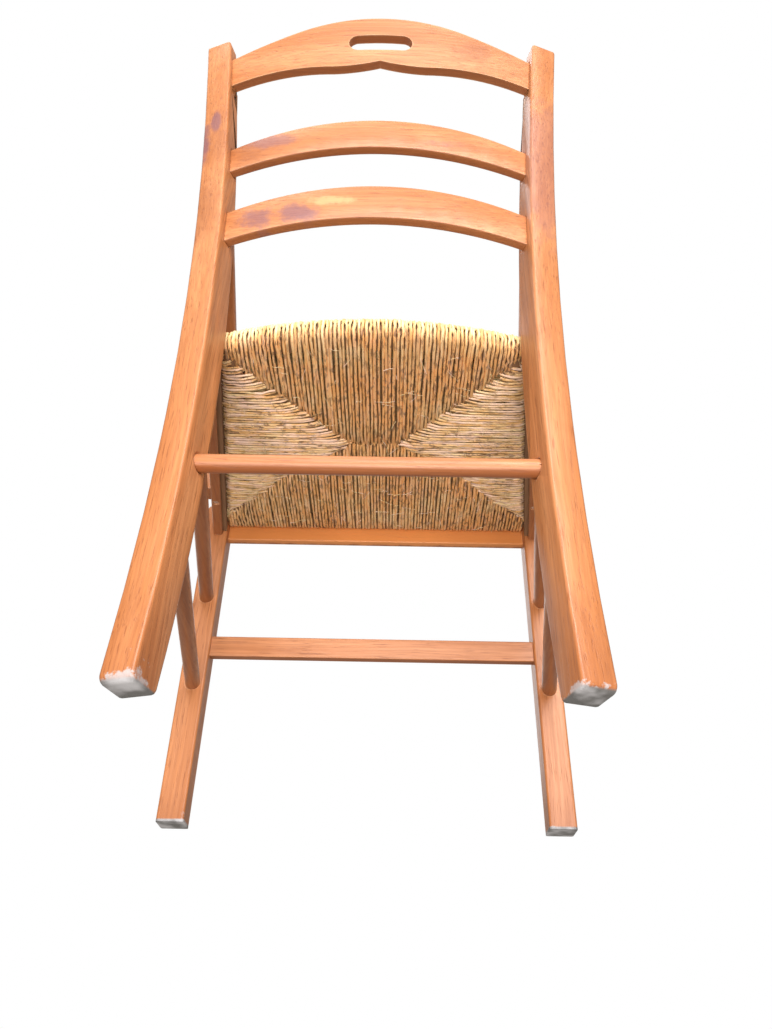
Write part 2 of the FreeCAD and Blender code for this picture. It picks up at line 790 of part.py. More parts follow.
# --- legs last: each blank with the sockets of everything that enters it ---
upper_stretcher, lower_stretcher = side_stretchers
keep_pair("upper_side_stretcher", upper_stretcher)
keep_pair("lower_side_stretcher", lower_stretcher)
keep_pair(
    "front_leg",
    cut("front_leg_socketed", front_blank, [front_stretcher, front_rail, side_rail, *side_stretchers]),
)
entering = [crest, upper_slat, lower_slat, rear_stretcher, side_rail, arm, *side_stretchers]
keep_pair("rear_leg", cut("rear_leg_socketed", rear_blank, entering))

# --- checks and files ---
doc.recompute()
failed = [o.Name for o in doc.Objects if "Invalid" in o.State or "Error" in o.State]
if failed:
    raise SystemExit(f"these objects failed: {failed}")
os.makedirs("parts", exist_ok=True)
for node, item in pieces.items():
    shape = item.Shape
    if shape.isNull() or not shape.isValid() or shape.Volume < 1:
        raise SystemExit(f"{node} has no valid solid")
    shape.exportStep(f"parts/{node}.step")
whole = Part.makeCompound([item.Shape for item in pieces.values()])
box = whole.BoundBox
print(f"{len(pieces)} pieces, x {box.XMin:.1f}..{box.XMax:.1f}, y {box.YMin:.1f}..{box.YMax:.1f},", end=" ")
print(f"z {box.ZMin:.1f}..{box.ZMax:.1f}")
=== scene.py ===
import math
import random

import bmesh
import bpy
from mathutils import Matrix, Vector


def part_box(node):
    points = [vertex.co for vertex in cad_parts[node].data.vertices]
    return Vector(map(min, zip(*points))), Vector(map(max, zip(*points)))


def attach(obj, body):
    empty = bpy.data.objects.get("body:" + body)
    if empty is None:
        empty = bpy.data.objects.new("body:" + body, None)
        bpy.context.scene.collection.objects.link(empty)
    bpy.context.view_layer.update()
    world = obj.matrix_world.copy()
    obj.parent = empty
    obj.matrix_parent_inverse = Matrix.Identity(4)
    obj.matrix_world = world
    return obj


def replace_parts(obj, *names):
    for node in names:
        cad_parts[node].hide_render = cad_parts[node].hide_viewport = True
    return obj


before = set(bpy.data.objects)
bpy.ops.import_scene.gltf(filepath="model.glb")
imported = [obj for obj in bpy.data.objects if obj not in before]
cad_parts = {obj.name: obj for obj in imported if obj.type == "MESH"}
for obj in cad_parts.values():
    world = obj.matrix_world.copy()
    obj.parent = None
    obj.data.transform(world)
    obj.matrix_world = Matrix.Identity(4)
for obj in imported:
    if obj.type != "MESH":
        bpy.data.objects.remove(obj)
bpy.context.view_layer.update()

# --- Studio ---
# The chair stands on a pale floor that only shows from above, so that the chair can be seen and
# lit from underneath. A broad light hangs behind the back, a little above it, and another below.
SURFACE_TINT = (0.93, 0.925, 0.915, 1.0)
CAMERA_PLACE = Vector((-0.02744, 0.8113, -0.27569))
CAMERA_PITCH = 0.61052
CAMERA_YAW = 0.0116
CAMERA_ROLL = 0.0231
CAMERA_LENS = 29.52

scene = bpy.context.scene
scene.view_settings.view_transform = "Standard"

ahead = Vector((
    math.sin(CAMERA_YAW) * math.cos(CAMERA_PITCH),
    -math.cos(CAMERA_YAW) * math.cos(CAMERA_PITCH),
    math.sin(CAMERA_PITCH),
))
level_right = Vector((-math.cos(CAMERA_YAW), -math.sin(CAMERA_YAW), 0.0))
upright = level_right.cross(ahead)
camera_right = math.cos(CAMERA_ROLL) * level_right + math.sin(CAMERA_ROLL) * upright
camera_up = math.cos(CAMERA_ROLL) * upright - math.sin(CAMERA_ROLL) * level_right
camera_data = bpy.data.cameras.new("camera")
camera_data.lens = CAMERA_LENS
camera = bpy.data.objects.new("camera", camera_data)
scene.collection.objects.link(camera)
camera_turn = Matrix((camera_right, camera_up, -ahead)).transposed().to_4x4()
camera.matrix_world = Matrix.Translation(CAMERA_PLACE) @ camera_turn
scene.camera = camera

world = bpy.data.worlds.new("pale_room")
world.use_nodes = True
scene.world = world
room = world.node_tree
room_out = room.nodes["World Output"]
seen = room.nodes["Background"]
seen.inputs["Color"].default_value = (1.0, 1.0, 1.0, 1.0)
seen.inputs["Strength"].default_value = 1.0
lit = room.nodes.new("ShaderNodeBackground")
lit.inputs["Color"].default_value = (1.0, 0.94, 0.86, 1.0)
lit.inputs["Strength"].default_value = 0.36
pick = room.nodes.new("ShaderNodeMixShader")
path = room.nodes.new("ShaderNodeLightPath")
room.links.new(path.outputs["Is Camera Ray"], pick.inputs["Fac"])
room.links.new(lit.outputs["Background"], pick.inputs[1])
room.links.new(seen.outputs["Background"], pick.inputs[2])
room.links.new(pick.outputs["Shader"], room_out.inputs["Surface"])


def area_light(name, place, aim, size, power, tint=(1.0, 1.0, 1.0)):
    """A square soft light at a place, facing another."""
    data = bpy.data.lights.new(name, "AREA")
    data.size = size
    data.energy = power
    data.color = tint
    lamp = bpy.data.objects.new(name, data)
    scene.collection.objects.link(lamp)
    lamp.location = place
    lamp.rotation_euler = (Vector(aim) - Vector(place)).to_track_quat("-Z", "Y").to_euler()


seat_middle = (0.0, -0.03, 0.45)
area_light("key", (-0.4, 2.7, 1.3), seat_middle, 1.8, 104.0, (0.98, 0.98, 1.0))
area_light("low_fill", (0.1, 2.3, -1.1), seat_middle, 1.5, 82.0, (1.0, 0.96, 0.92))
area_light("top", (0.6, 0.3, 2.9), seat_middle, 2.0, 40.0)
area_light("front_fill", (0.9, -2.6, 2.0), seat_middle, 2.2, 22.0, (0.96, 0.98, 1.0))

bm = bmesh.new()
bmesh.ops.create_grid(bm, x_segments=1, y_segments=1, size=6.0)
floor_mesh = bpy.data.meshes.new("floor")
bm.to_mesh(floor_mesh)
bm.free()
floor = bpy.data.objects.new("floor", floor_mesh)
scene.collection.objects.link(floor)
floor_paint = bpy.data.materials.new("floor_paint")
floor_paint.use_nodes = True
tree = floor_paint.node_tree
tree.nodes["Principled BSDF"].inputs["Base Color"].default_value = SURFACE_TINT
tree.nodes["Principled BSDF"].inputs["Roughness"].default_value = 0.9
side = tree.nodes.new("ShaderNodeNewGeometry")
ray = tree.nodes.new("ShaderNodeLightPath")
clear = tree.nodes.new("ShaderNodeBsdfTransparent")
blend = tree.nodes.new("ShaderNodeMixShader")
from_above = tree.nodes.new("ShaderNodeMath")
from_above.operation = "SUBTRACT"
from_above.use_clamp = True
tree.links.new(ray.outputs["Is Camera Ray"], from_above.inputs[0])
tree.links.new(side.outputs["Backfacing"], from_above.inputs[1])
tree.links.new(from_above.outputs["Value"], blend.inputs["Fac"])
tree.links.new(clear.outputs["BSDF"], blend.inputs[1])
tree.links.new(tree.nodes["Principled BSDF"].outputs["BSDF"], blend.inputs[2])
tree.links.new(blend.outputs["Shader"], tree.nodes["Material Output"].inputs["Surface"])
floor_mesh.materials.append(floor_paint)

# --- Varnished wood ---
# Stained oak under an orange-brown varnish. The grain runs along each piece, the varnish has
# rubbed thin in patches on the edges, a painted highlight lightens every edge, and dirt has
# darkened it where hands and boots reach. Faces that look down are darkened with painted shade.


def shader_group(name, inputs, outputs):
    """An empty node group with named sockets, and the nodes that its inputs and outputs hang on."""
    group = bpy.data.node_groups.new(name, "ShaderNodeTree")
    for socket, kind, value in inputs:
        made = group.interface.new_socket(socket, in_out="INPUT", socket_type="NodeSocket" + kind)
        if value is not None:
            made.default_value = value
    for socket, kind in outputs:
        group.interface.new_socket(socket, in_out="OUTPUT", socket_type="NodeSocket" + kind)
    return group, group.nodes.new("NodeGroupInput"), group.nodes.new("NodeGroupOutput")


def noise(tree, vector, scale, detail=3.0, roughness=0.55, distortion=0.0):
    node = tree.nodes.new("ShaderNodeTexNoise")
    node.inputs["Scale"].default_value = scale
    node.inputs["Detail"].default_value = detail
    node.inputs["Roughness"].default_value = roughness
    node.inputs["Distortion"].default_value = distortion
    tree.links.new(vector, node.inputs["Vector"])
    return node.outputs["Fac"]


def ramp(tree, value, low, high, out_low=0.0, out_high=1.0):
    """A value remapped smoothly from low..high to out_low..out_high."""
    node = tree.nodes.new("ShaderNodeMapRange")
    node.interpolation_type = "SMOOTHSTEP"
    for socket, number in (("From Min", low), ("From Max", high), ("To Min", out_low), ("To Max", out_high)):
        node.inputs[socket].default_value = number
    tree.links.new(value, node.inputs["Value"])
    return node.outputs["Result"]


def math_node(tree, operation, *values):
    node = tree.nodes.new("ShaderNodeMath")
    node.operation = operation
    for socket, value in zip(node.inputs, values):
        if isinstance(value, (int, float)):
            socket.default_value = value
        else:
            tree.links.new(value, socket)
    return node.outputs["Value"]


def mix_colour(tree, factor, first, second, mode="MIX"):
    node = tree.nodes.new("ShaderNodeMix")
    node.data_type = "RGBA"
    node.blend_type = mode
    for socket, value in ((node.inputs[0], factor), (node.inputs[6], first), (node.inputs[7], second)):
        if isinstance(value, tuple):
            socket.default_value = value
        elif isinstance(value, (int, float)):
            socket.default_value = value
        else:
            tree.links.new(value, socket)
    return node.outputs[2]


def stretched(tree, vector, scale):
    node = tree.nodes.new("ShaderNodeVectorMath")
    node.operation = "MULTIPLY"
    node.inputs[1].default_value = scale
    tree.links.new(vector, node.inputs[0])
    return node.outputs["Vector"]


# Grain along Z: broad figure, narrow growth lines and the long dark pores of oak.
grain, grain_in, grain_out = shader_group(
    "wood_grain",
    [("Vector", "Vector", None), ("Fineness", "Float", 1.0)],
    [("Figure", "Float"), ("Lines", "Float"), ("Flecks", "Float")],
)
spot = grain_in.outputs["Vector"]
warp = grain.nodes.new("ShaderNodeTexNoise")
warp.inputs["Scale"].default_value = 5.0
warp.inputs["Detail"].default_value = 2.0
grain.links.new(spot, warp.inputs["Vector"])
shift = grain.nodes.new("ShaderNodeVectorMath")
shift.operation = "MULTIPLY_ADD"
shift.inputs[1].default_value = (0.012, 0.012, 0.0)
grain.links.new(warp.outputs["Color"], shift.inputs[0])
grain.links.new(spot, shift.inputs[2])
bent = shift.outputs["Vector"]
fine = grain.nodes.new("ShaderNodeVectorMath")
fine.operation = "SCALE"
grain.links.new(bent, fine.inputs[0])
grain.links.new(grain_in.outputs["Fineness"], fine.inputs["Scale"])
figure = noise(grain, stretched(grain, fine.outputs["Vector"], (30.0, 30.0, 1.7)), 1.0, 4.0, 0.6)
lines = noise(grain, stretched(grain, fine.outputs["Vector"], (300.0, 300.0, 5.0)), 1.0, 3.0, 0.65)
flecks = noise(grain, stretched(grain, fine.outputs["Vector"], (640.0, 640.0, 30.0)), 1.0, 2.0, 0.6)
grain.links.new(ramp(grain, figure, 0.30, 0.72), grain_out.inputs["Figure"])
grain.links.new(ramp(grain, lines, 0.30, 0.70), grain_out.inputs["Lines"])
grain.links.new(ramp(grain, flecks, 0.56, 0.70), grain_out.inputs["Flecks"])

# Edge wear and painted highlight: Edge marks where a rounded normal leaves the true one and is used as a
# painted highlight along every edge; Rubbed is that edge broken up by noise, as wear.
wear, wear_in, wear_out = shader_group(
    "edge_wear_and_highlight", [("Vector", "Vector", None)], [("Edge", "Float"), ("Rubbed", "Float")]
)
round_normal = wear.nodes.new("ShaderNodeBevel")
round_normal.samples = 4
round_normal.inputs["Radius"].default_value = 0.0035
true_normal = wear.nodes.new("ShaderNodeNewGeometry")
facing = wear.nodes.new("ShaderNodeVectorMath")
facing.operation = "DOT_PRODUCT"
wear.links.new(round_normal.outputs["Normal"], facing.inputs[0])
wear.links.new(true_normal.outputs["Normal"], facing.inputs[1])
edge = ramp(wear, facing.outputs["Value"], 0.995, 0.86)
patchy = noise(wear, wear_in.outputs["Vector"], 55.0, 4.0, 0.65)
wear.links.new(edge, wear_out.inputs["Edge"])
wear.links.new(
    math_node(wear, "MULTIPLY", edge, ramp(wear, patchy, 0.50, 0.68)), wear_out.inputs["Rubbed"]
)

# A mark of given centre and reach, with a ragged outline: a burn, a spill, a rubbed patch.
mark, mark_in, mark_out = shader_group(
    "ragged_mark",
    [
        ("Vector", "Vector", None),
        ("Centre", "Vector", None),
        ("Reach", "Float", 0.03),
        ("Stretch", "Vector", None),
    ],
    [("Mask", "Float")],
)
away = mark.nodes.new("ShaderNodeVectorMath")
away.operation = "SUBTRACT"
mark.links.new(mark_in.outputs["Vector"], away.inputs[0])
mark.links.new(mark_in.outputs["Centre"], away.inputs[1])
squeeze = mark.nodes.new("ShaderNodeVectorMath")
squeeze.operation = "MULTIPLY"
mark.links.new(away.outputs["Vector"], squeeze.inputs[0])
mark.links.new(mark_in.outputs["Stretch"], squeeze.inputs[1])
reach = mark.nodes.new("ShaderNodeVectorMath")
reach.operation = "LENGTH"
mark.links.new(squeeze.outputs["Vector"], reach.inputs[0])
ragged = noise(mark, mark_in.outputs["Vector"], 48.0, 5.0, 0.7)
near = math_node(mark, "DIVIDE", reach.outputs["Value"], mark_in.outputs["Reach"])
torn = math_node(mark, "ADD", near, math_node(mark, "MULTIPLY", ragged, 1.3))
mark.links.new(ramp(mark, torn, 1.65, 1.15), mark_out.inputs["Mask"])

LIGHT_STAIN = (0.62, 0.26, 0.105, 1.0)
MID_STAIN = (0.47, 0.165, 0.050, 1.0)
DARK_STAIN = (0.215, 0.056, 0.014, 1.0)
BARE_WOOD = (0.76, 0.47, 0.27, 1.0)
SCUFF_GREY = (0.46, 0.45, 0.46, 1.0)
ALONG = {"x": (0.0, math.pi / 2, 0.0), "y": (math.pi / 2, 0.0, 0.0), "z": (0.0, 0.0, 0.0)}


def placed(tree, group, **values):
    """A group's node with some of its inputs set or linked."""
    node = tree.nodes.new("ShaderNodeGroup")
    node.node_tree = group
    for name, value in values.items():
        if hasattr(value, "is_output"):
            tree.links.new(value, node.inputs[name])
        else:
            node.inputs[name].default_value = value
    return node


def varnished_wood(name, along, seed, tilt=0.0, worn_end=None, marks=()):
    """Stained wood with its grain along x, y or z. worn_end is the height that foot wear reaches,
    and each mark is (centre, reach, stretch, colour, strength)."""
    material = bpy.data.materials.new(name)
    material.use_nodes = True
    tree = material.node_tree
    skin = tree.nodes["Principled BSDF"]
    where = tree.nodes.new("ShaderNodeTexCoord").outputs["Object"]
    turned = tree.nodes.new("ShaderNodeMapping")
    turned.inputs["Rotation"].default_value = [a + tilt * (i == 2) for i, a in enumerate(ALONG[along])]
    turned.inputs["Location"].default_value = (seed * 0.37, seed * 0.61, seed * 1.13)
    tree.links.new(where, turned.inputs["Vector"])
    figured = placed(tree, grain, Vector=turned.outputs["Vector"], Fineness=1.0)
    worn_and_lit_edges = placed(tree, wear, Vector=where)
    colour = mix_colour(tree, figured.outputs["Figure"], MID_STAIN, LIGHT_STAIN)
    growth = math_node(tree, "MULTIPLY", figured.outputs["Lines"], 0.34)
    colour = mix_colour(tree, growth, colour, DARK_STAIN)
    pores = math_node(tree, "MULTIPLY", figured.outputs["Flecks"], 0.55)
    colour = mix_colour(tree, pores, colour, DARK_STAIN)
    grubby = ramp(tree, noise(tree, where, 9.0, 5.0, 0.6), 0.56, 0.80, 0.0, 0.4)
    colour = mix_colour(tree, grubby, colour, DARK_STAIN)
    # Painted shade: faces that look down are darkened towards the dark stain.
    facing_down = tree.nodes.new("ShaderNodeSeparateXYZ")
    tree.links.new(tree.nodes.new("ShaderNodeNewGeometry").outputs["Normal"], facing_down.inputs["Vector"])
    painted_underside_shade = ramp(tree, facing_down.outputs["Z"], -0.45, -0.85, 0.0, 0.62)
    colour = mix_colour(tree, painted_underside_shade, colour, DARK_STAIN)
    for centre, extent, stretch, tint, strength in marks:
        patch = placed(tree, mark, Vector=where, Centre=centre, Reach=extent, Stretch=stretch)
        colour = mix_colour(tree, math_node(tree, "MULTIPLY", patch.outputs["Mask"], strength), colour, tint)
    # Painted highlight: every edge is lightened evenly towards bare wood; the next line adds rubbed wear.
    colour = mix_colour(tree, math_node(tree, "MULTIPLY", worn_and_lit_edges.outputs["Edge"], 0.35), colour, BARE_WOOD)
    colour = mix_colour(tree, math_node(tree, "MULTIPLY", worn_and_lit_edges.outputs["Rubbed"], 0.45), colour, BARE_WOOD)
    gloss = ramp(tree, figured.outputs["Lines"], 0.0, 1.0, 0.40, 0.50)
    if worn_end:
        height = tree.nodes.new("ShaderNodeSeparateXYZ")
        tree.links.new(where, height.inputs["Vector"])
        level = height.outputs["Z"]
        chips = noise(tree, where, 120.0, 5.0, 0.7)
        broad = noise(tree, where, 38.0, 2.0, 0.5)
        flaking = math_node(tree, "ADD", chips, math_node(tree, "MULTIPLY", broad, 0.8))
        low = ramp(tree, level, worn_end, 0.0)
        colour = mix_colour(tree, math_node(tree, "MULTIPLY", low, 0.3), colour, DARK_STAIN)
        near_floor = ramp(tree, level, worn_end * 0.09, worn_end * 0.03)
        chance = math_node(tree, "ADD", math_node(tree, "MULTIPLY", low, 0.36), flaking)
        chance = math_node(tree, "ADD", chance, math_node(tree, "MULTIPLY", near_floor, 0.28))
        chipped = ramp(tree, chance, 1.42, 1.56)
        colour = mix_colour(tree, math_node(tree, "MULTIPLY", chipped, 0.7), colour, SCUFF_GREY)
        sole = ramp(tree, level, 0.0040, 0.0015)
        smear = mix_colour(tree, ramp(tree, broad, 0.40, 0.66), (0.13, 0.125, 0.12, 1.0), SCUFF_GREY)
        colour = mix_colour(tree, sole, colour, smear)
        gloss = math_node(tree, "MAXIMUM", gloss, math_node(tree, "MULTIPLY", chipped, 0.8))
    bump = tree.nodes.new("ShaderNodeBump")
    bump.inputs["Strength"].default_value = 0.35
    bump.inputs["Distance"].default_value = 0.0006
    ridges = math_node(tree, "MULTIPLY", figured.outputs["Lines"], -0.5)
    relief = math_node(tree, "SUBTRACT", ridges, figured.outputs["Flecks"])
    tree.links.new(relief, bump.inputs["Height"])
    tree.links.new(bump.outputs["Normal"], skin.inputs["Normal"])
    tree.links.new(colour, skin.inputs["Base Color"])
    tree.links.new(gloss, skin.inputs["Roughness"])
    skin.inputs["Coat Weight"].default_value = 0.3
    skin.inputs["Coat Roughness"].default_value = 0.3
    skin.inputs["IOR"].default_value = 1.40
    return material


def soften_edges(piece, width):
    """Eases the arrises of a sawn piece: its loose triangles are joined up first."""
    for polygon in piece.data.polygons:
        polygon.use_smooth = True
    weld = piece.modifiers.new("joined", "WELD")
    weld.merge_threshold = 0.00005
    flat = piece.modifiers.new("flat_faces", "DECIMATE")
    flat.decimate_type = "DISSOLVE"
    flat.angle_limit = math.radians(1.0)
    eased = piece.modifiers.new("eased_edges", "BEVEL")
    eased.width = width
    eased.segments = 3
    eased.limit_method = "ANGLE"
    eased.angle_limit = math.radians(38.0)
    eased.use_clamp_overlap = False
    eased.harden_normals = True


def finish_node(node, material):
    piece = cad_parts[node]
    piece.data.materials.clear()
    piece.data.materials.append(material)
    return piece


# --- Rear legs ---
# Sabre-curved uprights sawn from plank and turned outwards. Standing on stone has chipped their
# feet white and grey, and the left one has small purple-black bruises beside the top boards.
BRUISE = (0.20, 0.085, 0.10, 1.0)
LEG_EASING = 0.0032
left_leg_marks = (
    ((0.222, 0.215, 0.700), 0.026, (2.0, 1.0, 0.45), BRUISE, 0.8),
    ((0.208, 0.222, 0.745), 0.018, (2.2, 1.0, 0.7), BRUISE, 0.75),
    ((0.210, 0.19, 0.60), 0.03, (1.0, 1.0, 0.5), DARK_STAIN, 0.35),
)
right_leg_marks = (((-0.210, 0.20, 0.68), 0.05, (1.0, 1.0, 0.3), BRUISE, 0.35),)
for side_name, seed, marks in (("left", 1.0, left_leg_marks), ("right", 2.0, right_leg_marks)):
    leg_wood = varnished_wood(f"rear_leg_wood_{side_name}", "z", seed, worn_end=0.16, marks=marks)
    leg = finish_node(f"rear_leg_{side_name}", leg_wood)
    soften_edges(leg, LEG_EASING)

# --- Front legs ---
# Square posts, domed just above the seat, with flat feet scuffed dark grey.
for side_name, seed in (("left", 3.0), ("right", 4.0)):
    front_wood = varnished_wood(f"front_leg_wood_{side_name}", "z", seed, worn_end=0.05)
    finish_node(f"front_leg_{side_name}", front_wood)

# --- Back boards ---
# The crest with its hand hole and two plain slats, bowed backwards and let into the legs. A hot
# or wet thing has left two purple blooms and a thin pale yellow patch on the lower slat. Only the
# slats have eased edges.
YELLOWED = (0.80, 0.46, 0.21, 1.0)
SLAT_EASING = 0.0014
board_marks = {
    "top_rail": (((-0.12, 0.25, 0.86), 0.02, (0.6, 1.0, 1.0), DARK_STAIN, 0.3),),
    "upper_slat": (
        ((0.135, 0.20, 0.72), 0.024, (0.5, 1.0, 1.3), BRUISE, 0.55),
        ((-0.08, 0.20, 0.71), 0.018, (0.4, 1.0, 1.6), BRUISE, 0.5),
    ),
    "lower_slat": (
        ((0.138, 0.17, 0.592), 0.03, (0.8, 1.0, 1.2), BRUISE, 0.7),
        ((0.092, 0.18, 0.596), 0.028, (0.8, 1.0, 1.3), BRUISE, 0.75),
        ((0.052, 0.19, 0.611), 0.022, (0.5, 1.0, 2.2), YELLOWED, 0.45),
    ),
}
for seed, (board, marks) in enumerate(board_marks.items(), start=5):
    piece = finish_node(board, varnished_wood(board + "_wood", "x", seed, marks=marks))
    if board != "top_rail":
        soften_edges(piece, SLAT_EASING)

# --- Rails, stretchers and arms ---
# Front and side rails hold the seat frame; round rods and a flat front board tie the legs. The
# front rail is brightened with a painted light orange patch on the face that looks back under the seat.
# Painted light: an orange patch that brightens the face of the front rail that looks back under the seat.
PAINTED_LIGHT_ORANGE = (0.76, 0.28, 0.075, 1.0)
_, rail_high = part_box("front_rail")
across_pieces = {
    "front_rail": (((0.0, rail_high.y, rail_high.z), 0.012, (0.01, 1.0, 0.05), PAINTED_LIGHT_ORANGE, 0.85),),
    "front_stretcher": (),
    "rear_stretcher": (),
}
for seed, (node, marks) in enumerate(across_pieces.items(), start=9):
    finish_node(node, varnished_wood(node + "_wood", "x", seed, marks=marks))
fore_and_aft = (
    ("side_rail", 0.124),
    ("upper_side_stretcher", 0.15),
    ("lower_side_stretcher", 0.15),
    ("arm", 0.11),
)
for seed, (node, splay) in enumerate(fore_and_aft, start=13):
    for side_name, way in (("left", 1.0), ("right", -1.0)):
        wood = varnished_wood(f"{node}_wood_{side_name}", "y", seed + 0.4 * way, tilt=-way * splay)
        finish_node(f"{node}_{side_name}", wood)
for side_name, seed in (("left", 19.0), ("right", 20.0)):
    finish_node(f"arm_support_{side_name}", varnished_wood(f"arm_support_wood_{side_name}", "z", seed))

# --- Bare inner wood ---
# Ledger strips and the rails of the drop-in frame: sawn softwood, never varnished, brown with age.
bare = bpy.data.materials.new("bare_softwood")
bare.use_nodes = True
tree = bare.node_tree
where = tree.nodes.new("ShaderNodeTexCoord").outputs["Object"]
turned = tree.nodes.new("ShaderNodeMapping")
turned.inputs["Rotation"].default_value = ALONG["y"]
tree.links.new(where, turned.inputs["Vector"])
figured = placed(tree, grain, Vector=turned.outputs["Vector"], Fineness=0.7)
colour = mix_colour(tree, figured.outputs["Figure"], (0.20, 0.10, 0.045, 1.0), (0.31, 0.165, 0.08, 1.0))
growth = math_node(tree, "MULTIPLY", figured.outputs["Lines"], 0.5)
colour = mix_colour(tree, growth, colour, (0.11, 0.055, 0.025, 1.0))
tree.links.new(colour, tree.nodes["Principled BSDF"].inputs["Base Color"])
tree.nodes["Principled BSDF"].inputs["Roughness"].default_value = 0.8
for side_name in ("left", "right"):
    finish_node("ledger_" + side_name, bare)
    finish_node("seat_side_rail_" + side_name, bare)
for node in ("seat_front_rail", "seat_rear_rail"):
    finish_node(node, bare)

# --- Screws and brads ---
# Dull countersunk steel, one screw up into each arm support, with rust in the shadows.
steel = bpy.data.materials.new("dull_steel")
steel.use_nodes = True
tree = steel.node_tree
where = tree.nodes.new("ShaderNodeTexCoord").outputs["Object"]
rusty = ramp(tree, noise(tree, where, 600.0, 3.0, 0.6), 0.5, 0.7)
colour = mix_colour(tree, rusty, (0.62, 0.60, 0.57, 1.0), (0.22, 0.11, 0.06, 1.0))
tree.links.new(colour, tree.nodes["Principled BSDF"].inputs["Base Color"])
tree.nodes["Principled BSDF"].inputs["Metallic"].default_value = 0.9
tree.links.new(ramp(tree, rusty, 0.0, 1.0, 0.32, 0.7), tree.nodes["Principled BSDF"].inputs["Roughness"])
for node in ("arm_support_screws", "ledger_brads"):
    finish_node(node, steel)

# --- Rush seat ---
# Twisted rush wound round the four rails of the drop-in frame. Each strand runs in from a rail to
# the line where two fields meet, on top and underneath, and passes through the seat there.
STRAND = 0.00205
PITCH = 0.0045
EDGE_RADIUS = 0.0125
REAR_BULGE = 0.024
REAR_LINE = ((0.031, -0.047), (0.165, 0.100), (0.172, 0.108))
FRONT_LINE = ((0.031, -0.047), (0.108, -0.102), (0.171, -0.168), (0.219, -0.212))
SIDE_TAPER = 0.128
SIDE_DATUM = 0.234
SIDE_GAP = 0.0005
REAR_OVERHANG = 0.005
SIDE_RUN_ON = 0.012
MEETING_JITTER = (-0.005, 0.003)
LEAST_REACH = 0.008
DRIFT = 0.0003
WOBBLE = 0.00045
TOP_FULLNESS = 1.3
TOP_ZONE = 0.009
seat_low, seat_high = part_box("rush_seat")
_, rear_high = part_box("seat_rear_rail")
BOTTOM = seat_low.z + STRAND
TOP = seat_high.z - STRAND * TOP_FULLNESS
FRONT = seat_low.y + STRAND
FRONT_HALF = FRONT_LINE[-1][0] - STRAND
REAR_HALF = rear_high.x + REAR_OVERHANG - STRAND
REAR_MIDDLE = seat_high.y - STRAND
random.seed(7)


def lerp(a, b, t):
    return a + (b - a) * t


def rear_edge(x):
    return REAR_MIDDLE - REAR_BULGE * (x / REAR_HALF) ** 2


def side_edge(y):
    """Half the seat's width at y, to the middle of the outermost strand."""
    return seat_high.x - STRAND - SIDE_GAP - SIDE_TAPER * (y + SIDE_DATUM)


def meeting_depth(line):
    """How far back the line between two fields lies, x out from the middle."""
    def depth(x):
        for (near_x, near_y), (far_x, far_y) in zip(line, line[1:]):
            if abs(x) < far_x:
                return lerp(near_y, far_y, max(0.0, (abs(x) - near_x) / (far_x - near_x)))
        return line[-1][1]
    return depth


def side_line(y):
    """How far out from the middle the side fields reach in at y."""
    line = REAR_LINE if y > REAR_LINE[0][1] else FRONT_LINE
    for (near_x, near_y), (far_x, far_y) in zip(line, line[1:]):
        if abs(y - near_y) < abs(far_y - near_y):
            return lerp(near_x, far_x, (y - near_y) / (far_y - near_y))
    return line[-1][0]


def strand_path(inner, outer):
    """A strand's (distance out, height) from its inner end underneath, round the rail, to its end on top."""
    reach = outer - inner
    turn = min(EDGE_RADIUS, reach * 0.6)
    flat = reach - turn
    sink = random.uniform(0.004, 0.0075)
    under = []
    for t in (0.0, 0.06, 0.14, 0.3, 0.5, 0.7, 0.9):
        rise = sink * (1.0 - min(1.0, t * flat / 0.026)) ** 2
        sag = random.uniform(-0.0002, 0.0012) * math.sin(math.pi * t)
        under.append((inner + t * flat, BOTTOM + rise - min(sag, STRAND * 0.4)))
    corner = [(math.cos(a), math.sin(a)) for a in (-1.35, -0.95, -0.55, -0.15)]
    lower = [(outer - turn + turn * c, BOTTOM + turn + turn * s) for c, s in corner]
    upper = [(outer - turn + turn * c, TOP - turn - turn * s) for c, s in reversed(corner)]
    over = []
    for t in (0.9, 0.6, 0.3, 0.0):
        fall = 0.0045 * (1.0 - min(1.0, t * flat / 0.035)) ** 2 + 0.003 * (1.0 - t)
        over.append((inner + t * flat, TOP - fall))
    return under + lower + upper + over


def add_strand(curve, points, thick):
    """One strand as a spline of short straight runs, uneven underneath and full on top."""
    spline = curve.splines.new("POLY")
    spline.points.add(len(points) - 1)
    for point, place in zip(spline.points, points):
        wobble = [random.gauss(0.0, WOBBLE) for _ in range(2)]
        point.co = (place[0] + wobble[0], place[1] + wobble[1], place[2], 1.0)
        full = TOP_FULLNESS if place[2] > TOP - TOP_ZONE else thick
        point.radius = full * random.uniform(0.86, 1.10)


def strand_curve(name, radius, sides):
    curve = bpy.data.curves.new(name, "CURVE")
    curve.dimensions = "3D"
    curve.bevel_depth = radius
    curve.bevel_resolution = sides
    curve.use_fill_caps = True
    return curve


def curve_piece(name, curve, material):
    """The mesh of a curve's strands, as a piece of the chair."""
    maker = bpy.data.objects.new(name + "_curve", curve)
    scene.collection.objects.link(maker)
    bpy.context.view_layer.update()
    mesh = bpy.data.meshes.new_from_object(maker.evaluated_get(bpy.context.evaluated_depsgraph_get()))
    bpy.data.objects.remove(maker)
    mesh.name = name
    for polygon in mesh.polygons:
        polygon.use_smooth = True
    mesh.materials.clear()
    mesh.materials.append(material)
    piece = bpy.data.objects.new(name, mesh)
    scene.collection.objects.link(piece)
    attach(piece, "root")
    return piece


